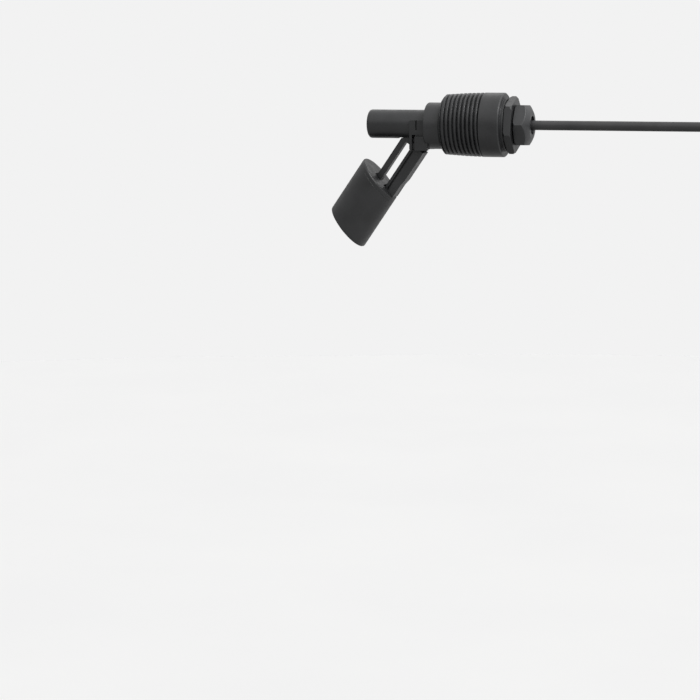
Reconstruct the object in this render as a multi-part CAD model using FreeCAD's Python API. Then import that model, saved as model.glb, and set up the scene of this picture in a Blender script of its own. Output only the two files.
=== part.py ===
import FreeCAD, Part
import math
import os

# Side-mounted magnetic float level sensor, in millimetres. X is the axis of the thread: the stem
# with its float is on the tank side, at -X, and the cable leaves at +X. Z is up. The origin is on
# the axis, at the outer end of the plain collar behind the thread.

V = FreeCAD.Vector
ACROSS = V(1, 0, 0)
SIDEWAYS = V(0, 1, 0)

# Clearances
bond_gap = 0.03  # between pieces that are pressed, screwed or bonded together
running_gap = 0.05  # all round the hinge pin in its seats
swing_gap = 0.3  # between the arm and what it swings past
overcut = 1.0  # of openings past the faces that they open

# Threaded plug
collar_dia = 26.7
collar_length = 8.5
collar_chamfer = 0.4
thread_length = 17.8
thread_pitch = 1.814
thread_depth = 1.1
thread_crest = 0.65
thread_root = 0.15
thread_taper = 1 / 16  # on the diameter
lead_in_length = 1.2
lead_in_cut = 0.6  # off the crests' diameter, at the lead-in's end
lead_in_face_cut = 3.8  # off the crests' diameter, at its face
lead_in_threads = 5.0  # threads whose crests are cut down towards the lead-in
shoulder_dia = 19.4
shoulder_drop = 0.6  # of the shoulder below the axis
shoulder_length = 7.0
shoulder_round = 0.7
stem_dia = 12.0
stem_length = 25.5
stem_round = 1.3

# Bore
stem_bore_dia = 6.6
stem_end_wall = 1.8
plug_bore_dia = 8.4
seal_bore_dia = 9.4
bore_step = 3.0  # from the shoulder's face to the wider bore

# Spanner hexagon and gland
washer_face_dia = 22.0
washer_face_length = 1.25
washer_groove_width = 0.35
washer_groove_depth = 1.0
hexagon_flats = 21.0
hexagon_length = 3.05
hexagon_turn = -18.0
spigot_dia = 12.8
spigot_length = 5.6
seal_seat_depth = 5.2
nut_flats = 16.5
nut_turn = 3.0
nut_length = 6.3
nut_standoff = 0.55
nut_dome = 2.5
nut_dome_swell = 0.22  # of the dome's arc outside its chord
nut_face_dia = 11.2
nut_mouth_dia = 7.7
nut_cavity_depth = 5.2
hexagon_bevel = 0.7  # off the corners
washer_thickness = 0.8
washer_hole_dia = 4.7

# Hinge cheeks
cheek_space = 8.8
cheek_thickness = 2.2
cheek_length = 6.43
cheek_rise = 2.0  # above the axis
cheek_round = 0.9
cheek_heel = 1.3  # under the shoulder
stop_rib = 0.6  # in front of the shoulder, between the cheeks
pivot_setback = 4.75  # in front of the shoulder
pivot_drop = 8.9  # below the axis
pivot_edge = 1.8  # cheek below the pivot
pin_dia = 2.4
pin_recess = 1.1
snap_slot_width = 1.2
snap_slot_top = 4.1  # below the axis
relief_height = 0.85
seam_width = 0.35
slit_width = 0.7
slit_depth = 0.8
slit_setback = 3.4  # in front of the shoulder
slit_rise = 1.9  # above the axis
slit_fall = 2.2  # below the axis
stop_slot_depth = 1.4
stop_slot_end = 1.6  # past the thin leg

# Arm, along u from the pivot to the float, v up from the line through the pivot
rest_angle = 55.5  # of the arm below the horizontal
raise_limit = 9.5
drop_limit = 20.0
hub_dia = 4.4
leg_low = -4.66
leg_low_at_float = -4.2
leg_taper_start = 14.5
leg_taper_end = 17.5
rail_high = -0.96
rail_half = 4.0
groove_high = 0.09
core_half = 1.6
lip_high = 1.29
lip_half = 2.6
tongue_low = -1.81
tongue_depth = 4.6
bar_low = 4.59
bar_high = 7.04
bar_half = 2.0
bar_depth = 4.6
bridge_low = 1.3  # u of its lower edge
bridge_foot = -2.5  # u where its upper edge meets the hub

# Float
float_dia = 20.35
float_length = 25.8
float_start = 20.5
float_axis = 5.47
float_skew = 17.5
float_round = 0.7
float_wall = 1.2
cap_thickness = 2.0
register_length = 1.6
socket_wall = 1.1
mouth_margin = 0.8
mouth_depth = 1.3
magnet_dia = 5.0
magnet_length = 6.0
magnet_offset = 5.4  # above the float's axis
magnet_cover = 1.3
magnet_plug_thickness = 1.5
pocket_wall = 0.9

# Reed switch on its board
board_length = 28.0
board_width = 5.3
board_thickness = 0.8
board_top = -0.8
board_end_gap = 0.6
reed_dia = 2.2
reed_length = 14.0
reed_wall = 0.35
reed_setback = 2.6  # from the board's front end
blade_width = 1.2
blade_thickness = 0.25
blade_overlap = 1.5
blade_gap = 0.15
wire_dia = 0.6
wire_reach = 1.4
solder_dia = 1.3
solder_height = 0.55
pad_setback = 1.2  # from the board's rear end

# Cable and its cores
cable_dia = 4.0
cable_inside = 2.0  # past the collar's end, in the resin
core_dia = 1.3
core_spread = 1.5
core_strip = 1.6
core_wire_dia = 0.7
potting_front = 14.0
potting_back = 3.0
cable_run = 94.0  # level stretch
coil_turn_dias = (46.8, 38.6)  # middle of the outer and the inner turns
coil_layers = 3
coil_pack = 4.1
coil_ahead = 24.5  # of the coil's centre past the level stretch
coil_drop = 50.0
lead_bend = ((26, 0, -4), (42, -0.8, -18))  # from the end of the level stretch
lead_entry = ((0, -2.5, 14), (0, -4.1, -1))  # from the side of the coil's outer turns
tie_width = 4.0
tie_thickness = 0.8
tie_angle = 135.0
tie_head_length = 4.8
tie_head_width = 5.6
tie_head_height = 3.0
tail_length = 42.0
tail_above = 6.0
end_core_length = 9.0
end_tip_length = 5.0

# Stations along the axis
thread_end_x = -collar_length
thread_start_x = thread_end_x - thread_length
shoulder_x = thread_start_x - shoulder_length
stem_tip_x = shoulder_x - stem_length
hexagon_x = washer_face_length + washer_groove_width
spigot_x = hexagon_x + hexagon_length
spigot_end_x = spigot_x + spigot_length
seal_seat_x = spigot_end_x - seal_seat_depth
nut_x = spigot_x + nut_standoff
nut_end_x = nut_x + nut_length
nut_land_x = nut_x + nut_cavity_depth
pivot = V(shoulder_x - pivot_setback, 0, -pivot_drop)
float_slope = math.tan(math.radians(float_skew))
coil_centre = V(cable_run + coil_ahead, 0, -coil_drop)


def turned(outline):
    """Solid turned about X from (x, radius) corners."""
    corners = [V(x, 0, radius) for x, radius in outline]
    face = Part.Face(Part.makePolygon(corners + corners[:1]))
    return face.revolve(V(0, 0, 0), ACROSS, 360)


def rod(x0, x1, diameter, y=0.0, z=0.0):
    return Part.makeCylinder(diameter / 2, x1 - x0, V(x0, y, z), ACROSS)


def block(x0, x1, y0, y1, z0, z1):
    return Part.makeBox(x1 - x0, y1 - y0, z1 - z0, V(x0, y0, z0))


def slab(points, half_width):
    """Plate over (x, z) corners, as wide on both sides of the middle plane."""
    corners = [V(x, -half_width, z) for x, z in points]
    return Part.Face(Part.makePolygon(corners + corners[:1])).extrude(V(0, 2 * half_width, 0))


def hexagon(x0, x1, flats, turn):
    """Hexagon bar along X; turn lifts the corner that points to -Y."""
    reach = flats / math.sqrt(3)
    angles = [math.radians(turn + 60 * k) for k in range(6)]
    corners = [V(x0, -reach * math.cos(a), reach * math.sin(a)) for a in angles]
    return Part.Face(Part.makePolygon(corners + corners[:1])).extrude(V(x1 - x0, 0, 0))


def bevelled_hexagon(x0, x1, flats, turn):
    reach = flats / math.sqrt(3)
    inner = reach - hexagon_bevel
    envelope = turned([
        (x0, 0),
        (x0, inner),
        (x0 + hexagon_bevel, reach),
        (x1 - hexagon_bevel, reach),
        (x1, inner),
        (x1, 0),
    ])
    return hexagon(x0, x1, flats, turn).common(envelope)


def rounded(shape, radius, picks):
    return shape.makeFillet(radius, [edge for edge in shape.Edges if picks(edge)])


def ring_at(x, diameter):
    """Test for the round edge of that diameter at x."""
    def test(edge):
        curve = edge.Curve
        if not isinstance(curve, Part.Circle):
            return False
        return abs(curve.Center.x - x) < 1e-6 and abs(2 * curve.Radius - diameter) < 1e-6
    return test


def crest_radius(x):
    """Radius of the taper thread over its crests."""
    return collar_dia / 2 - (thread_end_x - x) * thread_taper / 2


def threaded_section():
    """Tapered blank with the helical groove cut in it and the crests cut down at the lead-in."""
    blank = turned([
        (thread_start_x, 0),
        (thread_start_x, crest_radius(thread_start_x)),
        (thread_end_x, crest_radius(thread_end_x)),
        (thread_end_x, 0),
    ])
    low = thread_start_x - thread_pitch
    root = crest_radius(low) - thread_depth
    half_top = (thread_pitch - thread_crest) / 2
    half_root = thread_root / 2
    over = thread_depth / 5
    half_over = half_top + (half_top - half_root) / thread_depth * over
    corners = [
        V(root, 0, -half_root),
        V(root + thread_depth + over, 0, -half_over),
        V(root + thread_depth + over, 0, half_over),
        V(root, 0, half_root),
    ]
    cone_angle = math.degrees(math.atan(thread_taper / 2))
    path = Part.makeLongHelix(thread_pitch, thread_length + 2 * thread_pitch, root, cone_angle)
    groove = Part.Wire(path).makePipeShell([Part.makePolygon(corners + corners[:1])], True, True)
    groove.rotate(V(0, 0, 0), SIDEWAYS, 90)
    groove.translate(V(low, 0, 0))
    lead_end = thread_start_x + lead_in_length
    full = lead_end + lead_in_threads * thread_pitch
    lead_in = turned([
        (thread_start_x, 0),
        (thread_start_x, crest_radius(thread_start_x) - lead_in_face_cut / 2),
        (lead_end, crest_radius(lead_end) - lead_in_cut / 2),
        (full, crest_radius(full)),
        (thread_end_x, collar_dia),
        (thread_end_x, 0),
    ])
    return blank.cut(groove).common(lead_in)


def pin_half():
    return cheek_space / 2 + cheek_thickness - pin_recess


def shoulder_base():
    """z of the shoulder's lowest line, and of the ribs that stop the arm's heel."""
    return -shoulder_drop - shoulder_dia / 2


def hinge_cheeks():
    """The two cheeks, the snap slot with its seat for the hinge pin, and the grooves in their faces."""
    inner = cheek_space / 2
    outer = inner + cheek_thickness
    front, back = shoulder_x - cheek_length, shoulder_x + cheek_heel
    low = -pivot_drop - pivot_edge
    plate = block(front, back, -outer, outer, low, cheek_rise)

    def is_front_edge(edge):
        return edge.BoundBox.XMax < front + 1e-6 and edge.BoundBox.YLength > outer

    plate = rounded(plate, cheek_round, is_front_edge)
    rib_x = shoulder_x - stop_rib
    gap = block(front - overcut, rib_x, -inner, inner, low - overcut, 0)
    gap = gap.fuse(block(rib_x, back + overcut, -inner, inner, low - overcut, shoulder_base()))
    past = outer + overcut
    slot_x = pivot.x - snap_slot_width / 2
    slot = block(slot_x, slot_x + snap_slot_width, -past, past, low - overcut, -snap_slot_top)
    reach = pin_half() + running_gap
    seat = Part.makeCylinder(pin_dia / 2 + running_gap, 2 * reach, V(pivot.x, -reach, pivot.z), SIDEWAYS)
    slit_x = shoulder_x - slit_setback - slit_width / 2
    relief_low = -snap_slot_top - relief_height
    grooves = block(slit_x, slit_x + slit_width, -past, past, -slit_fall, slit_rise)
    grooves = grooves.fuse([
        block(slot_x, shoulder_x, -past, past, relief_low, -snap_slot_top),
        block(shoulder_x - seam_width, shoulder_x, -past, past, -snap_slot_top, slit_rise),
    ])
    floor = outer - slit_depth
    return plate.cut(gap), slot.fuse(seat), grooves.cut(block(front, back, -floor, floor, low, cheek_rise))


def sensor_body():
    shoulder = rod(shoulder_x, thread_start_x + lead_in_length, shoulder_dia, z=-shoulder_drop)
    shoulder = rounded(shoulder, shoulder_round, ring_at(shoulder_x, shoulder_dia))
    stem = rod(stem_tip_x, shoulder_x + shoulder_round, stem_dia)
    stem = rounded(stem, stem_round, ring_at(stem_tip_x, stem_dia))
    plug = turned([
        (thread_end_x, 0),
        (thread_end_x, collar_dia / 2),
        (-collar_chamfer, collar_dia / 2),
        (0, collar_dia / 2 - collar_chamfer),
        (0, washer_face_dia / 2),
        (washer_face_length, washer_face_dia / 2),
        (washer_face_length, washer_face_dia / 2 - washer_groove_depth),
        (hexagon_x, washer_face_dia / 2 - washer_groove_depth),
        (hexagon_x, spigot_dia / 2),
        (spigot_end_x, spigot_dia / 2),
        (spigot_end_x, 0),
    ])
    spanner_hexagon = bevelled_hexagon(hexagon_x, spigot_x, hexagon_flats, hexagon_turn)
    cheeks, snap_seats, grooves = hinge_cheeks()
    shape = plug.fuse([threaded_section(), spanner_hexagon, shoulder, stem, cheeks])
    snap_seats = snap_seats.cut(rod(stem_tip_x, 0, stem_dia))
    bore = rod(stem_tip_x + stem_end_wall, seal_seat_x, stem_bore_dia)
    bore = bore.fuse([
        rod(shoulder_x + bore_step, seal_seat_x + overcut, plug_bore_dia),
        rod(seal_seat_x, spigot_end_x + overcut, seal_bore_dia),
    ])
    return shape.cut(bore).cut(snap_seats).cut(grooves).cut(stop_slot())


def arm_turn(shape, angle):
    """Puts a piece that was drawn on the level arm at an angle below the horizontal."""
    placed = shape.copy()
    placed.rotate(V(0, 0, 0), SIDEWAYS, -angle)
    placed.translate(pivot)
    return placed


def on_arm(shape):
    return arm_turn(shape, rest_angle)


def arm_plate(points, half_width):
    """Plate over (u, v) corners of the level arm."""
    return slab([(-u, v) for u, v in points], half_width)


def float_end(v):
    """u of the float's slanted top at height v."""
    return float_start - float_slope * (v - float_axis)


def stop_slot_roof():
    return stop_slot_depth - stem_dia / 2


def bar_top(v):
    """u where the thin leg ends, just clear of the stop slot's roof when the float is raised."""
    angle = math.radians(rest_angle - raise_limit)
    room = pivot.z + v * math.cos(angle) - (stop_slot_roof() - swing_gap / 2)
    return room / math.sin(angle)


def stop_slot():
    """Slot in the stem's underside that the arm's bridge and thin leg swing into."""
    angle = math.radians(rest_angle)
    far = pivot.x - bar_top(bar_high) * math.cos(angle) - bar_high * math.sin(angle)
    half = bar_half + swing_gap
    return block(far - stop_slot_end, shoulder_x, -half, half, -stem_dia, stop_slot_roof())


def heel(v):
    """u where the thick leg starts, just clear of the stop ribs when the float hangs."""
    angle = math.radians(rest_angle + drop_limit)
    corner = V(pivot_setback - stop_rib, 0, pivot_drop + shoulder_base())
    edge_u = -corner.x * math.cos(angle) - corner.z * math.sin(angle)
    edge_v = -corner.x * math.sin(angle) + corner.z * math.cos(angle)
    return edge_u + (v - edge_v) / math.tan(angle) + swing_gap


def tongue_end():
    return float_end(lip_high) + tongue_depth


def bar_end():
    return float_end(bar_high) + bar_depth


def float_arm():
    rails = arm_plate([
        (0, 0),
        (hub_dia / 4, rail_high),
        (float_end(rail_high), rail_high),
        (float_end(leg_low_at_float), leg_low_at_float),
        (leg_taper_end, leg_low_at_float),
        (leg_taper_start, leg_low),
        (heel(leg_low), leg_low),
    ], rail_half)
    core = arm_plate([
        (0, rail_high),
        (0, lip_high),
        (float_end(lip_high), lip_high),
        (float_end(rail_high), rail_high),
    ], core_half)
    lip = arm_plate([
        (0, groove_high),
        (0, lip_high),
        (float_end(lip_high), lip_high),
        (float_end(groove_high), groove_high),
    ], lip_half)
    tongue = arm_plate([
        (float_end(lip_high), lip_high),
        (tongue_end(), lip_high),
        (tongue_end(), tongue_low),
        (float_end(tongue_low), tongue_low),
    ], lip_half)
    hub = Part.makeCylinder(hub_dia / 2, 2 * rail_half, V(0, -rail_half, 0), SIDEWAYS)
    bridge = arm_plate([
        (bridge_foot, 0),
        (bar_top(bar_low), bar_low),
        (bridge_low, bar_low),
        (bridge_low, 0),
    ], bar_half)
    bar = arm_plate([
        (bar_top(bar_low), bar_low),
        (bar_top(bar_high), bar_high),
        (bar_end(), bar_high),
        (bar_end(), bar_low),
    ], bar_half)
    arm = rails.fuse([core, lip, tongue, hub, bridge, bar]).removeSplitter()
    past = rail_half + overcut
    hole = Part.makeCylinder(pin_dia / 2 + bond_gap, 2 * past, V(0, -past, 0), SIDEWAYS)
    return on_arm(arm.cut(hole))


def hinge_pin():
    half = pin_half()
    return on_arm(Part.makeCylinder(pin_dia / 2, 2 * half, V(0, -half, 0), SIDEWAYS))


def slanted(diameter, top, bottom):
    """Round bar on the float's axis between two slanted ends, top and bottom counted from its top."""
    reach = diameter
    low, high = float_axis - reach, float_axis + reach
    corners = [
        (float_end(low) + top, low),
        (float_end(high) + top, high),
        (float_end(high) + bottom, high),
        (float_end(low) + bottom, low),
    ]
    bar = rod(-float_start - 4 * float_length, 4 * float_length, diameter, z=float_axis)
    return bar.common(arm_plate(corners, reach))


def outer_rim(shape, offset):
    """Rounds the float's outer rim that lies nearest to a slanted end."""
    middle = V(-float_start - offset, 0, float_axis)

    def is_rim(edge):
        return edge.Length > 3 * float_dia and edge.CenterOfMass.distanceToPoint(middle) < 1e-3

    return rounded(shape, float_round, is_rim)


def float_shell():
    shell = outer_rim(slanted(float_dia, cap_thickness, float_length), float_length)
    return on_arm(shell.cut(slanted(float_dia - 2 * float_wall, 0, float_length - float_wall)))


def register_dia():
    return float_dia - 2 * float_wall - 2 * bond_gap


def leg_room(low, high, end, half, fit):
    """Bar about a leg between v low and high that ends at u end, larger all round by fit."""
    start = float_start - float_dia
    return arm_plate([
        (start, low - fit),
        (start, high + fit),
        (end + fit, high + fit),
        (end + fit, low - fit),
    ], half + fit)


def socket(low, high, end, half):
    """Boss and hole for a leg."""
    boss = leg_room(low, high, end, half, socket_wall)
    boss = boss.common(slanted(register_dia(), cap_thickness / 2, float_length))
    return boss, leg_room(low, high, end, half, bond_gap)


def socket_mouth(low, high, half):
    """Open mouth about a leg, in the float's slanted top."""
    brim = high + mouth_margin
    return arm_plate([
        (0, low),
        (0, brim),
        (float_end(brim) + mouth_depth, brim),
        (float_end(low) + mouth_depth, low),
    ], half + mouth_margin)


def magnet_start():
    lowest = float_axis + magnet_offset - magnet_dia / 2
    return float_end(lowest) + magnet_cover


def magnet_rod(start, length, diameter):
    return rod(-start - length, -start, diameter, z=float_axis + magnet_offset)


def float_cap():
    top = outer_rim(slanted(float_dia, 0, cap_thickness), 0)
    register = slanted(register_dia(), cap_thickness / 2, cap_thickness + register_length)
    leg_boss, leg_hole = socket(tongue_low, lip_high, tongue_end(), lip_half)
    leg_hole = leg_hole.fuse(socket_mouth(rail_high, lip_high, lip_half))
    bar_boss, bar_hole = socket(bar_low, bar_high, bar_end(), bar_half)
    bar_hole = bar_hole.fuse(socket_mouth(bar_low, bar_high, bar_half))
    start = magnet_start()
    depth = magnet_length + magnet_plug_thickness
    pocket_boss = magnet_rod(start - float_dia / 2, depth + float_dia / 2, magnet_dia + 2 * pocket_wall)
    pocket_boss = pocket_boss.common(slanted(register_dia(), cap_thickness / 2, float_length))
    pocket = magnet_rod(start, depth + overcut, magnet_dia + 2 * bond_gap)
    cap = top.fuse([register, leg_boss, bar_boss, pocket_boss]).removeSplitter()
    return on_arm(cap.cut(leg_hole).cut(bar_hole).cut(pocket))


def magnet():
    return on_arm(magnet_rod(magnet_start(), magnet_length, magnet_dia))


def magnet_plug():
    return on_arm(magnet_rod(magnet_start() + magnet_length, magnet_plug_thickness, magnet_dia))


def gland_nut():
    bar = hexagon(nut_x, nut_end_x, nut_flats, nut_turn)
    reach = nut_flats / math.sqrt(3)
    lip = nut_x + hexagon_bevel
    corner = V(nut_end_x - nut_dome, 0, reach)
    crown = V(nut_end_x, 0, nut_face_dia / 2)
    outward = V(corner.z - crown.z, 0, crown.x - corner.x).normalize()
    swell = (corner + crown) * 0.5 + outward * nut_dome_swell
    edges = [
        Part.makePolygon([V(nut_x, 0, 0), V(nut_x, 0, reach - hexagon_bevel), V(lip, 0, reach), corner]),
        Part.Arc(corner, swell, crown).toShape(),
        Part.makePolygon([crown, V(nut_end_x, 0, 0), V(nut_x, 0, 0)]),
    ]
    outline = Part.Wire([edge for shape in edges for edge in shape.Edges])
    envelope = Part.Face(outline).revolve(V(0, 0, 0), ACROSS, 360)
    cavity = rod(nut_x - overcut, nut_land_x, spigot_dia + 2 * bond_gap)
    mouth = rod(nut_land_x - overcut, nut_end_x + overcut, nut_mouth_dia)
    return bar.common(envelope).cut(cavity.fuse(mouth))


def gland_washer():
    disc = rod(nut_land_x - washer_thickness, nut_land_x, seal_bore_dia - 2 * bond_gap)
    return disc.cut(rod(seal_seat_x, nut_end_x, washer_hole_dia))


def gland_seal():
    sleeve = rod(seal_seat_x, nut_land_x - washer_thickness, seal_bore_dia - 2 * bond_gap)
    return sleeve.cut(rod(seal_seat_x - overcut, nut_end_x, cable_dia + 2 * bond_gap))


def board_x():
    front = stem_tip_x + stem_end_wall + board_end_gap
    return front, front + board_length


def reed_axis():
    return board_top + reed_dia / 2 + bond_gap


def reed_x():
    front = board_x()[0] + reed_setback
    return front, front + reed_length


def wire_leg_x():
    front, back = reed_x()
    return front - wire_reach, back + wire_reach


def reed_blade(end):
    """Blade in the glass, with its wire out of one end and down through the board."""
    front, back = reed_x()
    z = reed_axis()
    middle = (front + back) / 2
    leg = wire_leg_x()[0 if end < 0 else 1]
    seal = front + 2 * reed_wall if end < 0 else back - 2 * reed_wall
    tip = middle - end * blade_overlap / 2
    low = z + (blade_gap / 2 if end < 0 else -blade_gap / 2 - blade_thickness)
    root = seal - end * wire_dia
    half = blade_width / 2
    flat = block(min(root, tip), max(root, tip), -half, half, low, low + blade_thickness)
    wire = rod(min(leg, root), max(leg, root), wire_dia, z=z)
    foot = board_top - board_thickness - wire_dia / 2
    down = Part.makeCylinder(wire_dia / 2, z - foot, V(leg, 0, foot))
    bend = Part.makeSphere(wire_dia / 2, V(leg, 0, z))
    return wire.fuse([flat, down, bend]).removeSplitter()


def reed_glass():
    front, back = reed_x()
    z = reed_axis()
    tube = rod(front, back, reed_dia, z=z)
    tube = rounded(tube, reed_dia / 3, lambda e: isinstance(e.Curve, Part.Circle))
    hollow = rod(front + 2 * reed_wall, back - 2 * reed_wall, reed_dia - 2 * reed_wall, z=z)
    return tube.cut(hollow).cut(rod(front - overcut, back + overcut, wire_dia + 2 * bond_gap, z=z))


def pad_places():
    rear = board_x()[1] - pad_setback
    return [(rear, core_spread / 2), (rear, -core_spread / 2)]


def carrier_board():
    front, back = board_x()
    half = board_width / 2
    underside = board_top - board_thickness
    board = block(front, back, -half, half, underside, board_top)
    for x in wire_leg_x():
        start = V(x, 0, underside - overcut)
        board = board.cut(Part.makeCylinder(wire_dia / 2 + bond_gap, board_thickness + 2 * overcut, start))
    return board


def core_axis():
    return board_top + core_dia / 2 + bond_gap


def core(side):
    """Insulated core from the cable's end to its pad, with a stripped tip."""
    y = side * core_spread / 2
    tip = board_x()[1] - pad_setback - core_strip / 2
    strip = tip + core_strip
    z = core_axis()
    return rod(strip, -cable_inside, core_dia, y, z).fuse(rod(tip, strip, core_wire_dia, y, z))


def solder_joints():
    places = [(x, 0.0) for x in wire_leg_x()] + pad_places()
    taken = reed_blade(-1).fuse([reed_blade(1), core(-1), core(1), reed_glass()])
    cones = []
    for x, y in places:
        cone = Part.makeCone(solder_dia / 2, solder_dia / 4, solder_height, V(x, y, board_top))
        cones.append(cone.cut(taken))
    return Part.makeCompound(cones)


def cable_start():
    return rod(-cable_inside, spigot_end_x, cable_dia)


def potting_plug():
    plug = rod(-potting_front, potting_back, plug_bore_dia - 2 * bond_gap)
    return plug.cut(cable_start().fuse([core(-1), core(1)]))


def route():
    """Corners of the cable's lead, from its end in the resin to the coil."""
    level_end = V(cable_run, 0, 0)
    coil_side = coil_centre + V(coil_turn_dias[0] / 2, 0, 0)
    bend = [level_end + V(*step) for step in lead_bend]
    return [V(-cable_inside, 0, 0), level_end] + bend + [coil_side + V(*step) for step in lead_entry]


def lead_tube(points, diameter):
    """Round tube along straight runs with an arc at each corner, and the radii of the arcs."""
    edges = []
    radii = []
    here = points[0]
    for before, at, after in zip(points, points[1:], points[2:]):
        back, ahead = before - at, after - at
        shorter = min(back.Length, ahead.Length)
        half_turn = (math.pi - back.getAngle(ahead)) / 2
        reach = 0.45 * shorter
        radius = reach / math.tan(half_turn)
        start = at + back.normalize() * reach
        end = at + ahead.normalize() * reach
        inward = (back + ahead).normalize()
        middle = at + inward * (radius / math.cos(half_turn) - radius)
        edges += [Part.LineSegment(here, start).toShape(), Part.Arc(start, middle, end).toShape()]
        radii.append(radius)
        here = end
    edges.append(Part.LineSegment(here, points[-1]).toShape())
    path = Part.Wire(edges)
    section = Part.Wire(Part.makeCircle(diameter / 2, points[0], points[1] - points[0]))
    tube = path.makePipeShell([section], True, True)
    print("lead", round(path.Length, 1), "mm, radii", [round(r, 1) for r in radii])
    return tube


def coil_ring():
    """Outer shape of the coiled turns, about Y."""
    outer = coil_turn_dias[0] / 2 + coil_pack / 2
    inner = coil_turn_dias[1] / 2 - coil_pack / 2
    half = coil_layers * coil_pack / 2
    corners = [V(inner, -half, 0), V(outer, -half, 0), V(outer, half, 0), V(inner, half, 0)]
    ring = Part.Face(Part.makePolygon(corners + corners[:1])).revolve(V(0, 0, 0), SIDEWAYS, 360)
    ring = ring.makeFillet(cable_dia / 3, ring.Edges)
    ring.translate(coil_centre)
    return ring


def tail_place():
    """Top of the free tail, which hangs in front of the inner turns."""
    half = coil_layers * coil_pack / 2
    return coil_centre + V(coil_turn_dias[1] / 2, -half - cable_dia / 2 - bond_gap, tail_above)


def drop(place, length, diameter, x=0.0):
    return Part.makeCylinder(diameter / 2, length, place + V(x, 0, 0), V(0, 0, -1))


def cable_tail():
    return drop(tail_place(), tail_length, cable_dia)


def end_core(side):
    return drop(tail_place() - V(0, 0, tail_length), end_core_length, core_dia, side * core_spread / 2)


def copper_tips():
    place = tail_place() - V(0, 0, tail_length + end_core_length)
    side = core_spread / 2
    return Part.makeCompound([drop(place, end_tip_length, core_wire_dia, x) for x in (-side, side)])


def coil_tie():
    outer = coil_turn_dias[0] / 2 + coil_pack / 2 + tie_thickness
    inner = coil_turn_dias[1] / 2 - coil_pack / 2 - tie_thickness
    half = coil_layers * coil_pack / 2 + tie_thickness
    band = block(inner, outer, -half, half, -tie_width / 2, tie_width / 2)
    middle = (inner + outer) / 2
    left, right = middle - tie_head_length / 2, middle + tie_head_length / 2
    head = block(left, right, -half - tie_head_height, -half, -tie_head_width / 2, tie_head_width / 2)
    tie = band.fuse(head)
    tie.rotate(V(0, 0, 0), SIDEWAYS, -tie_angle)
    tie.translate(coil_centre)
    return tie.cut(coil_ring())


pieces = {
    "sensor_body": sensor_body(),
    "float_arm": float_arm(),
    "hinge_pin": hinge_pin(),
    "float_shell": float_shell(),
    "float_cap": float_cap(),
    "magnet": magnet(),
    "magnet_plug": magnet_plug(),
    "gland_nut": gland_nut(),
    "gland_washer": gland_washer(),
    "gland_seal": gland_seal(),
    "reed_glass": reed_glass(),
    "reed_blade_front": reed_blade(-1),
    "reed_blade_rear": reed_blade(1),
    "carrier_board": carrier_board(),
    "solder_joints": solder_joints(),
    "core_brown": core(1),
    "core_blue": core(-1),
    "potting_plug": potting_plug(),
    "cable": lead_tube(route(), cable_dia).cut(coil_ring()),
    "cable_coil": coil_ring(),
    "cable_tail": cable_tail(),
    "coil_tie": coil_tie(),
    "end_core_brown": end_core(1),
    "end_core_blue": end_core(-1),
    "copper_tips": copper_tips(),
}

os.makedirs("parts", exist_ok=True)
for name, shape in pieces.items():
    state = "valid" if shape.isValid() else "not valid"
    print(name, len(shape.Solids), "solid", state, round(shape.Volume, 2))
    shape.exportStep(f"parts/{name}.step")
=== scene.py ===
import math

import bmesh
import bpy
from mathutils import Matrix, Vector


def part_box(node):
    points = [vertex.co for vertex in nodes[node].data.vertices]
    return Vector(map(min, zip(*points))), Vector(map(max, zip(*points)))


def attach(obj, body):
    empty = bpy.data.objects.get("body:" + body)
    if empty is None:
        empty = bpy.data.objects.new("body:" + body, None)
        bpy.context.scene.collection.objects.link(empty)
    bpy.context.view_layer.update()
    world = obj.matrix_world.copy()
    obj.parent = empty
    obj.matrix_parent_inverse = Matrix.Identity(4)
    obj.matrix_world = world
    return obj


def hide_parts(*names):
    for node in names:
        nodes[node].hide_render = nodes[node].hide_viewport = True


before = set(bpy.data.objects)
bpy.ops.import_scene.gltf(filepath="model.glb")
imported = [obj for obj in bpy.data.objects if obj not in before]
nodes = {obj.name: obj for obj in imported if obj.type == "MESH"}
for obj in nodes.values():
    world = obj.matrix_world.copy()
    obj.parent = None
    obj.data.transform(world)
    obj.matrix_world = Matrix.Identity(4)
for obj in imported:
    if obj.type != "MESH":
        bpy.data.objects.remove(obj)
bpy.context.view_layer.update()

# Lengths are in metres, as in the frame.

# Camera: its place about the origin and its own turn
IMAGE_SIZE = 700
FOCAL_PIXELS = 2750
SENSOR_WIDTH = 36  # in millimetres
NEAR_CLIP = 0.05
FAR_CLIP = 50
DISTANCE = 1.1468
AZIMUTH = math.radians(14.0)
ELEVATION = math.radians(3.2)
YAW = math.radians(17.264)
PITCH = math.radians(-7.86)
ROLL = math.radians(-0.4)

# Floor and backdrop
FLOOR = -1.2
FLOOR_REACH = 400
FLOOR_DARK = (0.9, 0.9, 0.9, 1)
FLOOR_PALE = (0.915, 0.915, 0.912, 1)
BACKDROP_REACH = 8
BACKDROP_LIGHT = 0.888

# Light of the sky by the height of its direction, from straight below to straight above
SKY = [
    (-1.0, 0.3),
    (-0.8, 0.5),
    (-0.4, 0.58),
    (0.0, 0.45),
    (0.14, 0.46),
    (0.42, 0.98),
    (1.0, 1.0),
]
SKY_LEFT = 0.76
SKY_RIGHT = 1.34

# Key lamp
KEY_PLACE = Vector((0.6, -0.2, 0.8))
KEY_TARGET = Vector((-0.02, 0, -0.01))
KEY_SIZE = 0.6
KEY_POWER = 9  # in watts

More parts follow.
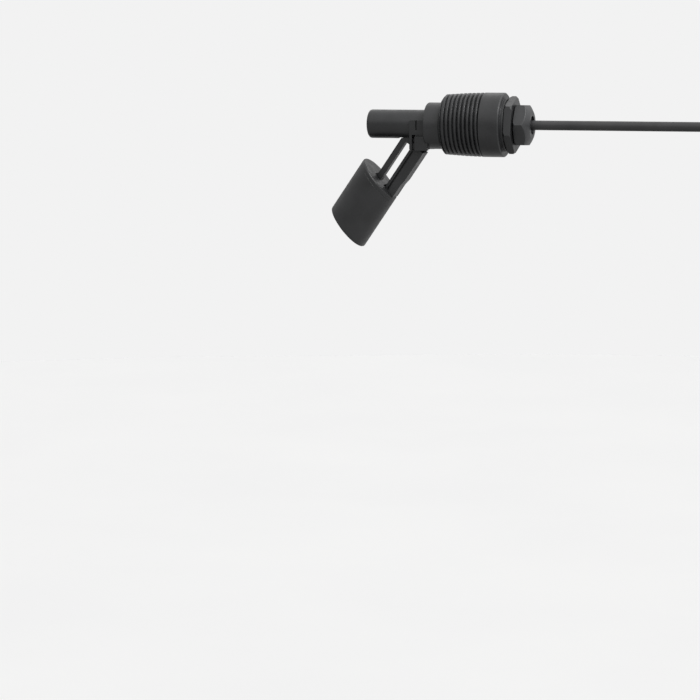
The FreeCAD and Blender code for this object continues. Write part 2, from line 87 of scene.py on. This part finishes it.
# Cable: the lead, two layers of turns and the tail
CABLE_DIA = 0.004
CABLE_SIDES = 6  # extra points in each half of its section
CABLE_STEPS = 10  # rings between two points of its line
LEAD = [
    Vector((-0.002, 0, 0)),
    Vector((0.0677, 0, 0)),
    Vector((0.094, 0, 0)),
    Vector((0.12, 0, -0.004)),
    Vector((0.136, -0.0008, -0.018)),
    Vector((0.1419, -0.0025, -0.036)),
    Vector((0.1419, -0.0041, -0.051)),
]
COIL_CENTRE = Vector((0.1185, 0, -0.05))
COIL_STEPS = 18  # points in each turn
LAYER_TURNS = 3  # turns in each layer
OUTER_TURN = 0.0234
INNER_TURN = 0.0193
COIL_PACK = 0.0041
CROSS_STEPS = 2  # steps of a turn in which it crosses over to the next one
CROSS_OUTER = 14  # step from which it does so
CROSS_INWARD = 12
CROSS_INNER = 10
TAIL_FRONT = -0.00818
TAIL_DROP = 0.006
TAIL_END = -0.086
TAIL_X = COIL_CENTRE.x + INNER_TURN
TAIL = [
    Vector((TAIL_X, TAIL_FRONT, COIL_CENTRE.z - TAIL_DROP)),
    Vector((TAIL_X, TAIL_FRONT, TAIL_END)),
]

# Tie about the coil
TIE_ANGLE = math.radians(135)
TIE_MIDDLE = (OUTER_TURN + INNER_TURN) / 2
TIE_HALF_OUT = (OUTER_TURN - INNER_TURN + COIL_PACK) / 2
TIE_HALF_FRONT = 1.5 * COIL_PACK
TIE_WIDTH = 0.004
TIE_THICK = 0.0008
TIE_CORNER = 0.0021
TIE_CORNER_STEPS = 8
TIE_SMOOTH = 40  # degrees
HEAD_BASE = TIE_HALF_FRONT + TIE_THICK / 2
# Half width and height of the head, from its foot over the rim into its mouth
HEAD_PROFILE = [
    (0.0021, 0),
    (0.0024, 0.0005),
    (0.0024, 0.0028),
    (0.002, 0.0034),
    (0.0012, 0.0034),
    (0.0011, 0.002),
]
HEAD_LONGER = 0.0004  # than it is wide, at each end
HEAD_CORNER = 0.0004
HEAD_CORNER_STEPS = 3
STUB_BASE = HEAD_BASE + 0.0015
STUB_HALF_WIDTH = TIE_WIDTH / 2 - 0.0006
STUB_HALF_THICK = TIE_THICK / 2
STUB_RINGS = 13
TOOTH_STEP = 0.0003
TOOTH_DEPTH = 0.00012

# Bared copper tips
CORE_SPREAD = 0.0015
WIRES = 7
WIRE_RADIUS = 0.00011
WIRE_SIDES = 8
WIRE_RINGS = 15
LAY_RADIUS = 0.00023
LAY_SPREAD = 0.0001  # more at the tip
LAY_TWIST = 150  # degrees
TIP_ENTRY = 0.0004
TIP_STAGGER = 0.0002
TIP_SMOOTH = 50  # degrees

# Black mouldings: shade of black, size of the grain, roughness, wear of the edges
BLACK = (0.02, 0.0205, 0.0215)
MOULDINGS = {
    "body_plastic": (1.0, 0.0004, 0.34, 0.8),
    "arm_plastic": (1.0, 0.0004, 0.42, 0.8),
    "float_plastic": (0.88, 0.0003, 0.42, 0.7),
    "nut_plastic": (1.4, 0.00045, 0.36, 0.9),
    "washer_plastic": (0.6, 0.0003, 0.5, 0.5),
    "tie_plastic": (1.1, 0.0006, 0.36, 0.6),
    "pin_plastic": (0.8, 0.0005, 0.38, 0.5),
}

NODE_SLOTS = {
    "sensor_body": "body_plastic",
    "float_arm": "arm_plastic",
    "hinge_pin": "pin_plastic",
    "float_shell": "float_plastic",
    "float_cap": "float_plastic",
    "magnet": "ferrite",
    "magnet_plug": "float_plastic",
    "gland_nut": "nut_plastic",
    "gland_washer": "washer_plastic",
    "gland_seal": "seal_rubber",
    "reed_glass": "reed_glass",
    "reed_blade_front": "blade_alloy",
    "reed_blade_rear": "blade_alloy",
    "carrier_board": "board",
    "solder_joints": "solder",
    "core_brown": "core_brown",
    "core_blue": "core_blue",
    "potting_plug": "resin",
    "end_core_brown": "core_brown",
    "end_core_blue": "core_blue",
}


def placed(name, data):
    """New object in the scene."""
    made = bpy.data.objects.new(name, data)
    bpy.context.scene.collection.objects.link(made)
    return made


def add_camera():
    data = bpy.data.cameras.new("camera")
    data.sensor_width = SENSOR_WIDTH
    data.lens = SENSOR_WIDTH * FOCAL_PIXELS / IMAGE_SIZE
    data.clip_start = NEAR_CLIP
    data.clip_end = FAR_CLIP
    level = math.cos(PITCH)
    forward = Vector((-math.sin(YAW) * level, math.cos(YAW) * level, math.sin(PITCH)))
    right = Vector((math.cos(YAW), math.sin(YAW), 0))
    up = right.cross(forward)
    tilted_right = right * math.cos(ROLL) + up * math.sin(ROLL)
    tilted_up = up * math.cos(ROLL) - right * math.sin(ROLL)
    turn = Matrix((tilted_right, tilted_up, -forward)).transposed()
    side = math.cos(ELEVATION)
    away = Vector((math.sin(AZIMUTH) * side, -math.cos(AZIMUTH) * side, math.sin(ELEVATION)))
    camera = placed("camera", data)
    camera.matrix_world = Matrix.Translation(away * DISTANCE) @ turn.to_4x4()
    bpy.context.scene.camera = camera


def crossed(step, start):
    """Share of the crossing to the next turn that is behind a step."""
    return min(max((step - start) / CROSS_STEPS, 0), 1)


def coil_points():
    """Control points of the turns: an outer layer to the back, then an inner one to the front."""
    swell = 1 / math.cos(math.pi / COIL_STEPS)
    points = []
    for turn in range(2 * LAYER_TURNS):
        outer = turn < LAYER_TURNS
        row = turn if outer else 2 * LAYER_TURNS - 1 - turn
        for step in range(COIL_STEPS):
            radius = OUTER_TURN if outer else INNER_TURN
            y = COIL_PACK * (row - (LAYER_TURNS - 1) / 2)
            if not outer:
                y -= COIL_PACK * crossed(step, CROSS_INNER)
            elif turn < LAYER_TURNS - 1:
                y += COIL_PACK * crossed(step, CROSS_OUTER)
            else:
                radius -= (OUTER_TURN - INNER_TURN) * crossed(step, CROSS_INWARD)
            angle = -2 * math.pi * (step + 1) / COIL_STEPS
            spoke = Vector((math.cos(angle), 0, math.sin(angle)))
            points.append(COIL_CENTRE + swell * radius * spoke + Vector((0, y, 0)))
    return points


def spline_object(name, points, radius):
    """Tube along one smooth line."""
    data = bpy.data.curves.new(name, "CURVE")
    data.dimensions = "3D"
    data.resolution_u = CABLE_STEPS
    data.bevel_depth = 1  # times the points' radius
    data.bevel_resolution = CABLE_SIDES
    data.use_fill_caps = True
    spline = data.splines.new("NURBS")
    spline.points.add(len(points) - 1)
    for point, place in zip(spline.points, points):
        point.co = (*place, 1)
        point.radius = radius
    spline.order_u = 3
    spline.use_endpoint_u = True
    return placed(name, data)


class Finish:
    """A node material in the making."""

    def __init__(self, name):
        self.material = bpy.data.materials.new(name)
        self.material.use_nodes = True
        self.tree = self.material.node_tree
        self.shader = self.tree.nodes["Principled BSDF"]
        self.place = self.node("ShaderNodeTexCoord").outputs["Object"]
        self.relief = None

    def node(self, kind, **settings):
        made = self.tree.nodes.new(kind)
        for name, value in settings.items():
            setattr(made, name, value)
        return made

    def feed(self, socket, value):
        if isinstance(value, bpy.types.NodeSocket):
            self.tree.links.new(value, socket)
        else:
            socket.default_value = value

    def set(self, **values):
        """Sets or links the shader's sockets."""
        for name, value in values.items():
            self.feed(self.shader.inputs[name.replace("_", " ")], value)

    def noise(self, size, detail, stretch=None):
        """Noise with spots about size metres across."""
        texture = self.node("ShaderNodeTexNoise")
        self.feed(texture.inputs["Scale"], 1 / size)
        self.feed(texture.inputs["Detail"], detail)
        place = self.place
        if stretch:
            mapping = self.node("ShaderNodeMapping")
            self.feed(mapping.inputs["Vector"], self.place)
            self.feed(mapping.inputs["Scale"], stretch)
            place = mapping.outputs["Vector"]
        self.feed(texture.inputs["Vector"], place)
        return texture.outputs["Fac"]

    def spread(self, value, low=0, high=1, start=0.35, end=0.65):
        """Maps start..end to low..high."""
        mapped = self.node("ShaderNodeMapRange")
        self.feed(mapped.inputs["Value"], value)
        self.feed(mapped.inputs["From Min"], start)
        self.feed(mapped.inputs["From Max"], end)
        self.feed(mapped.inputs["To Min"], low)
        self.feed(mapped.inputs["To Max"], high)
        return mapped.outputs["Result"]

    def product(self, first, second):
        made = self.node("ShaderNodeMath", operation="MULTIPLY")
        self.feed(made.inputs[0], first)
        self.feed(made.inputs[1], second)
        return made.outputs["Value"]

    def mix(self, share, first, second):
        mixed = self.node("ShaderNodeMix", data_type="RGBA")
        self.feed(mixed.inputs["Factor"], share)
        self.feed(mixed.inputs["A"], first)
        self.feed(mixed.inputs["B"], second)
        return mixed.outputs["Result"]

    def tinted(self, share, colour, dark, pale):
        """Between two shades of a colour."""
        return self.mix(share, shade(colour, dark), shade(colour, pale))

    def edges(self, reach):
        """1 on sharp edges, 0 on the faces away from them; the edges also shine as if rounded."""
        soft = self.node("ShaderNodeBevel", samples=4)
        self.feed(soft.inputs["Radius"], reach)
        self.relief = soft.outputs["Normal"]
        turn = self.node("ShaderNodeVectorMath", operation="DOT_PRODUCT")
        self.feed(turn.inputs[0], soft.outputs["Normal"])
        self.feed(turn.inputs[1], self.node("ShaderNodeNewGeometry").outputs["Normal"])
        return self.spread(turn.outputs["Value"], low=1, high=0, start=0.85, end=0.99)

    def emboss(self, height, depth):
        """Adds a relief of that depth in metres."""
        bump = self.node("ShaderNodeBump")
        self.feed(bump.inputs["Distance"], depth)
        self.feed(bump.inputs["Height"], height)
        if self.relief:
            self.feed(bump.inputs["Normal"], self.relief)
        self.relief = bump.outputs["Normal"]
        self.feed(self.shader.inputs["Normal"], self.relief)


def shade(colour, factor):
    return (*[min(c * factor, 1) for c in colour], 1)


def moulded(name, black, grain, rough, wear):
    """Moulded thermoplastic: clouded and flecked, with eroded grain and edges rubbed pale."""
    f = Finish(name)
    colour = shade(BLACK, black)[:3]
    cloud = f.spread(f.noise(size=0.009, detail=4))
    base = f.tinted(cloud, colour, dark=0.82, pale=1.18)
    fleck = f.spread(f.noise(size=0.0006, detail=1), high=0.25, start=0.62, end=0.72)
    base = f.mix(fleck, base, shade(colour, 1.9))
    patch = f.spread(f.noise(size=0.0035, detail=3), low=0.1, high=wear, start=0.4, end=0.62)
    rubbed = f.product(f.edges(reach=0.0003), patch)
    f.set(Base_Color=f.mix(rubbed, base, shade(colour, 2.6)))
    smear = f.noise(size=0.0028, detail=3)
    f.set(Roughness=f.spread(smear, low=rough - 0.06, high=rough + 0.06))
    f.emboss(f.noise(size=grain, detail=2), depth=0.00002)
    f.emboss(f.noise(size=0.006, detail=1), depth=0.00006)
    return f.material


def metal(name, colour, rough, stretch):
    """Bare metal with fine tool marks along one direction and a clouded tarnish."""
    f = Finish(name)
    f.set(Metallic=1.0)
    tarnish = f.spread(f.noise(size=0.0022, detail=3))
    f.set(Base_Color=f.tinted(tarnish, colour, dark=0.72, pale=1.05))
    marks = f.noise(size=0.0004, detail=3, stretch=stretch)
    f.set(Roughness=f.spread(marks, low=rough - 0.1, high=rough + 0.1))
    f.emboss(marks, depth=0.000008)
    return f.material


def soft_plastic(name, colour, rough):
    """Extruded insulation or sheath: a matt skin with faint shiny scuffs."""
    f = Finish(name)
    cloud = f.spread(f.noise(size=0.012, detail=4))
    f.set(Base_Color=f.tinted(cloud, colour, dark=0.85, pale=1.2))
    scuff = f.noise(size=0.0011, detail=4, stretch=(0.25, 1, 1))
    f.set(Roughness=f.spread(scuff, low=rough - 0.1, high=rough + 0.08))
    f.emboss(f.noise(size=0.0005, detail=2, stretch=(0.3, 1, 1)), depth=0.000018)
    f.emboss(f.noise(size=0.008, detail=1), depth=0.00008)
    return f.material


def rubber(name, colour):
    """Matt rubber with a pale bloom."""
    f = Finish(name)
    bloom = f.spread(f.noise(size=0.002, detail=5), start=0.45, end=0.7)
    f.set(Base_Color=f.tinted(bloom, colour, dark=0.9, pale=2.2))
    f.set(Roughness=f.spread(f.noise(size=0.0009, detail=2), low=0.7, high=0.9))
    f.emboss(f.noise(size=0.0003, detail=3), depth=0.00002)
    return f.material


def poured_resin(name, colour):
    """Glossy resin with swirls from pouring."""
    f = Finish(name)
    swirl = f.spread(f.noise(size=0.004, detail=5))
    f.set(Base_Color=f.tinted(swirl, colour, dark=0.6, pale=1.3))
    f.set(Roughness=f.spread(f.noise(size=0.003, detail=2), low=0.12, high=0.3))
    f.emboss(f.noise(size=0.0035, detail=1), depth=0.0001)
    return f.material


def laminate(name, colour):
    """Coated glass-fibre board with the weave showing through."""
    f = Finish(name)
    warp = f.node("ShaderNodeTexWave", bands_direction="X")
    weft = f.node("ShaderNodeTexWave", bands_direction="Y")
    for wave in (warp, weft):
        f.feed(wave.inputs["Vector"], f.place)
        f.feed(wave.inputs["Scale"], 300)
        f.feed(wave.inputs["Distortion"], 0.6)
    weave = f.product(warp.outputs["Fac"], weft.outputs["Fac"])
    f.set(Base_Color=f.tinted(weave, colour, dark=0.75, pale=1.35))
    f.set(Roughness=f.spread(f.noise(size=0.002, detail=3), low=0.28, high=0.42))
    f.emboss(weave, depth=0.00002)
    return f.material


def sintered(name, colour):
    """Dull sintered ferrite with fine pits."""
    f = Finish(name)
    pits = f.spread(f.noise(size=0.0004, detail=4), start=0.42, end=0.6)
    # The pits are painted darker than the faces between them: painted shade in the hollows of the
    # relief.
    f.set(Base_Color=f.tinted(pits, colour, dark=0.6, pale=1.25))
    f.set(Roughness=f.spread(f.noise(size=0.0012, detail=3), low=0.5, high=0.72))
    f.set(Metallic=0.35)
    f.emboss(pits, depth=0.00004)
    return f.material


def capsule_glass(name, colour):
    """Clear glass, a little uneven."""
    f = Finish(name)
    f.set(Transmission_Weight=1.0, IOR=1.47)
    tint = f.spread(f.noise(size=0.003, detail=2))
    f.set(Base_Color=f.tinted(tint, colour, dark=1.0, pale=1.15))
    f.set(Roughness=f.spread(f.noise(size=0.002, detail=3), low=0.01, high=0.06))
    f.emboss(f.noise(size=0.002, detail=1), depth=0.00003)
    return f.material


def dress(piece, slot):
    piece.data.materials.clear()
    piece.data.materials.append(finishes[slot])


def add_floor():
    """Pale floor, which the object neither reflects nor is lit by."""
    f = Finish("floor")
    f.set(Base_Color=f.mix(f.spread(f.noise(size=0.6, detail=3)), FLOOR_DARK, FLOOR_PALE))
    f.set(Roughness=f.spread(f.noise(size=0.02, detail=3), low=0.7, high=0.85))
    mesh = bpy.data.meshes.new("floor")
    turns = [(-1, -1), (1, -1), (1, 1), (-1, 1)]
    corners = [(x * FLOOR_REACH, y * FLOOR_REACH, FLOOR) for x, y in turns]
    mesh.from_pydata(corners, [], [(0, 1, 2, 3)])
    mesh.materials.append(f.material)
    made = placed("floor", mesh)
    made.visible_diffuse = False
    made.visible_glossy = False
    return made


def add_backdrop():
    """Pale dome about the floor, which only the camera sees."""
    f = Finish("backdrop")
    f.set(Base_Color=(0, 0, 0, 1), Specular_IOR_Level=0)
    f.set(Emission_Color=(1, 1, 1, 1), Emission_Strength=BACKDROP_LIGHT)
    bm = bmesh.new()
    bmesh.ops.create_icosphere(bm, subdivisions=4, radius=BACKDROP_REACH)
    mesh = bpy.data.meshes.new("backdrop")
    bm.to_mesh(mesh)
    bm.free()
    mesh.materials.append(f.material)
    dome = placed("backdrop", mesh)
    for rays in ("diffuse", "glossy", "transmission", "volume_scatter", "shadow"):
        setattr(dome, "visible_" + rays, False)


def add_lamp(name, place, target, size, power):
    data = bpy.data.lights.new(name, "AREA")
    data.shape = "DISK"
    data.size = size
    data.energy = power
    lamp = placed(name, data)
    lamp.location = place
    lamp.rotation_mode = "QUATERNION"
    lamp.rotation_quaternion = (target - place).to_track_quat("-Z", "Y")
    return lamp


def shield(piece, lamp):
    """Keeps the lamp's light off the piece."""
    shielded = bpy.data.collections.new("shielded")
    shielded.objects.link(piece)
    shielded.collection_objects[0].light_linking.link_state = "EXCLUDE"
    lamp.light_linking.receiver_collection = shielded


def add_sky():
    """Pale light, most of it from above and from the right."""
    world = bpy.data.worlds.new("studio")
    world.use_nodes = True
    bpy.context.scene.world = world
    tree = world.node_tree
    background = tree.nodes["Background"]
    direction = tree.nodes.new("ShaderNodeTexCoord").outputs["Generated"]
    split = tree.nodes.new("ShaderNodeSeparateXYZ")
    tree.links.new(direction, split.inputs["Vector"])
    height = tree.nodes.new("ShaderNodeMapRange")
    height.inputs["From Min"].default_value = -1
    tree.links.new(split.outputs["Z"], height.inputs["Value"])
    light = tree.nodes.new("ShaderNodeValToRGB")
    stops = light.color_ramp.elements
    for rise, _ in SKY[1:-1]:
        stops.new((rise + 1) / 2)
    for stop, (_, strength) in zip(stops, SKY):
        stop.color = (strength, strength, strength, 1)
    tree.links.new(height.outputs["Result"], light.inputs["Fac"])
    tree.links.new(light.outputs["Color"], background.inputs["Color"])
    side = tree.nodes.new("ShaderNodeMapRange")
    side.inputs["From Min"].default_value = -1
    side.inputs["To Min"].default_value = SKY_LEFT
    side.inputs["To Max"].default_value = SKY_RIGHT
    tree.links.new(split.outputs["X"], side.inputs["Value"])
    tree.links.new(side.outputs["Result"], background.inputs["Strength"])


def skin(name, rings, wrap=False):
    """Mesh object over rings of as many points each, closed to a loop or capped at both ends."""
    count = len(rings[0])
    mesh = bpy.data.meshes.new(name)
    last = len(rings) if wrap else len(rings) - 1
    faces = []
    for ring in range(last):
        here, ahead = ring * count, (ring + 1) % len(rings) * count
        for k in range(count):
            after = (k + 1) % count
            faces.append((here + k, here + after, ahead + after, ahead + k))
    if not wrap:
        faces.append(tuple(reversed(range(count))))
        faces.append(tuple(range(last * count, last * count + count)))
    mesh.from_pydata([point for ring in rings for point in ring], [], faces)
    return placed(name, mesh)


def smooth(piece, angle):
    """Smooth shading over the edges that turn by less than angle."""
    limit = math.radians(angle)
    bm = bmesh.new()
    bm.from_mesh(piece.data)
    bmesh.ops.recalc_face_normals(bm, faces=bm.faces)
    for face in bm.faces:
        face.smooth = True
    for edge in bm.edges:
        edge.smooth = len(edge.link_faces) == 2 and edge.calc_face_angle() < limit
    bm.to_mesh(piece.data)
    bm.free()


def joined(name, parts):
    """One mesh object made of the parts."""
    bm = bmesh.new()
    for part in parts:
        bm.from_mesh(part.data)
        bpy.data.objects.remove(part)
    mesh = bpy.data.meshes.new(name)
    bm.to_mesh(mesh)
    bm.free()
    return placed(name, mesh)


def rounded_path(half_a, half_b, radius, steps):
    """Corner-rounded rectangle about the origin as (a, b, normal angle)."""
    path = []
    for quarter in range(4):
        sign_a = 1 if quarter in (0, 3) else -1
        sign_b = 1 if quarter < 2 else -1
        for k in range(steps + 1):
            angle = math.pi / 2 * (quarter + k / steps)
            a = sign_a * (half_a - radius) + radius * math.cos(angle)
            b = sign_b * (half_b - radius) + radius * math.sin(angle)
            path.append((a, b, angle))
    return path


def at_tie(out, along, front):
    """Point by the tie: out from the coil's centre, along the turns, and to the front."""
    outward = Vector((math.cos(TIE_ANGLE), 0, math.sin(TIE_ANGLE)))
    onward = Vector((-math.sin(TIE_ANGLE), 0, math.cos(TIE_ANGLE)))
    return COIL_CENTRE + outward * (TIE_MIDDLE + out) + onward * along + Vector((0, -front, 0))


def tie_band():
    """Strap about the coil's turns, with rounded edges."""
    half = TIE_WIDTH / 2
    edge = TIE_THICK / 3
    section = [
        (half, edge),
        (half - edge, 0),
        (edge - half, 0),
        (-half, edge),
        (-half, TIE_THICK - edge),
        (edge - half, TIE_THICK),
        (half - edge, TIE_THICK),
        (half, TIE_THICK - edge),
    ]
    rings = []
    for a, b, angle in rounded_path(TIE_HALF_OUT, TIE_HALF_FRONT, TIE_CORNER, TIE_CORNER_STEPS):
        ring = []
        for along, lift in section:
            ring.append(at_tie(a + lift * math.cos(angle), along, b + lift * math.sin(angle)))
        rings.append(ring)
    return skin("tie_band", rings, wrap=True)


def tie_head():
    """Ratchet head with a mouth for the strap's end."""
    rings = []
    for half, height in HEAD_PROFILE:
        path = rounded_path(half, half + HEAD_LONGER, HEAD_CORNER, HEAD_CORNER_STEPS)
        rings.append([at_tie(out, along, HEAD_BASE + height) for out, along, _ in path])
    return skin("tie_head", rings)


def tie_stub():
    """Clipped end of the strap with its ratchet teeth."""
    rings = []
    for step in range(STUB_RINGS):
        front = STUB_BASE + TOOTH_STEP * step
        toothed = STUB_HALF_THICK - (TOOTH_DEPTH if step % 2 else 0)
        section = [
            (toothed, -STUB_HALF_WIDTH),
            (toothed, STUB_HALF_WIDTH),
            (-STUB_HALF_THICK, STUB_HALF_WIDTH),
            (-STUB_HALF_THICK, -STUB_HALF_WIDTH),
        ]
        rings.append([at_tie(out, along, front) for out, along in section])
    return skin("tie_stub", rings)


def wire(axis, number, length):
    """One of a tip's twisted wires; number 0 is the middle one."""
    angles = [2 * math.pi / WIRE_SIDES * n for n in range(WIRE_SIDES)]
    section = [WIRE_RADIUS * Vector((math.cos(t), math.sin(t), 0)) for t in angles]
    rings = []
    for step in range(WIRE_RINGS):
        share = step / (WIRE_RINGS - 1)
        reach = LAY_RADIUS + LAY_SPREAD * share**3 if number else 0
        turn = math.radians(360 / (WIRES - 1) * number + LAY_TWIST * share)
        offset = Vector((reach * math.cos(turn), reach * math.sin(turn), -share * length))
        rings.append([axis + offset + point for point in section])
    return skin("strand", rings)


def strands():
    """Twisted copper strands of the two bared tips, a little spread at their ends."""
    low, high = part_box("copper_tips")
    middle = (low + high) / 2
    parts = []
    for side in (-1, 1):
        axis = Vector((middle.x + side * CORE_SPREAD / 2, middle.y, high.z + TIP_ENTRY))
        for number in range(WIRES):
            parts.append(wire(axis, number, high.z - low.z - TIP_STAGGER * (number % 3)))
    return joined("copper_strands", parts)


finishes = {slot: moulded(slot, *look) for slot, look in MOULDINGS.items()}
finishes.update({
    "sheath": soft_plastic("sheath", (0.028, 0.028, 0.029), rough=0.42),
    "core_brown": soft_plastic("core_brown", (0.18, 0.075, 0.03), rough=0.4),
    "core_blue": soft_plastic("core_blue", (0.03, 0.11, 0.42), rough=0.4),
    "seal_rubber": rubber("seal_rubber", (0.02, 0.02, 0.02)),
    "resin": poured_resin("resin", (0.055, 0.045, 0.035)),
    "board": laminate("board", (0.03, 0.14, 0.07)),
    "blade_alloy": metal("blade_alloy", (0.62, 0.6, 0.56), rough=0.25, stretch=(0.05, 1, 1)),
    "solder": metal("solder", (0.68, 0.68, 0.69), rough=0.28, stretch=(1, 1, 1)),
    "copper": metal("copper", (0.78, 0.42, 0.25), rough=0.3, stretch=(1, 1, 0.06)),
    "ferrite": sintered("ferrite", (0.09, 0.09, 0.095)),
    "reed_glass": capsule_glass("reed_glass", (0.8, 0.93, 0.85)),
})

add_camera()
floor = add_floor()
add_backdrop()
add_sky()
key = add_lamp("key", KEY_PLACE, KEY_TARGET, KEY_SIZE, KEY_POWER)
shield(floor, key)

cable = spline_object("cable_line", LEAD + coil_points() + TAIL, CABLE_DIA / 2)
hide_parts("cable", "cable_coil", "cable_tail")
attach(cable, "sensor")
tie = joined("cable_tie", [tie_band(), tie_head(), tie_stub()])
smooth(tie, TIE_SMOOTH)
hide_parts("coil_tie")
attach(tie, "sensor")
tips = strands()
smooth(tips, TIP_SMOOTH)
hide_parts("copper_tips")
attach(tips, "sensor")

dress(cable, "sheath")
dress(tie, "tie_plastic")
dress(tips, "copper")
for node, slot in NODE_SLOTS.items():
    dress(nodes[node], slot)

bpy.context.scene.view_settings.view_transform = "Standard"
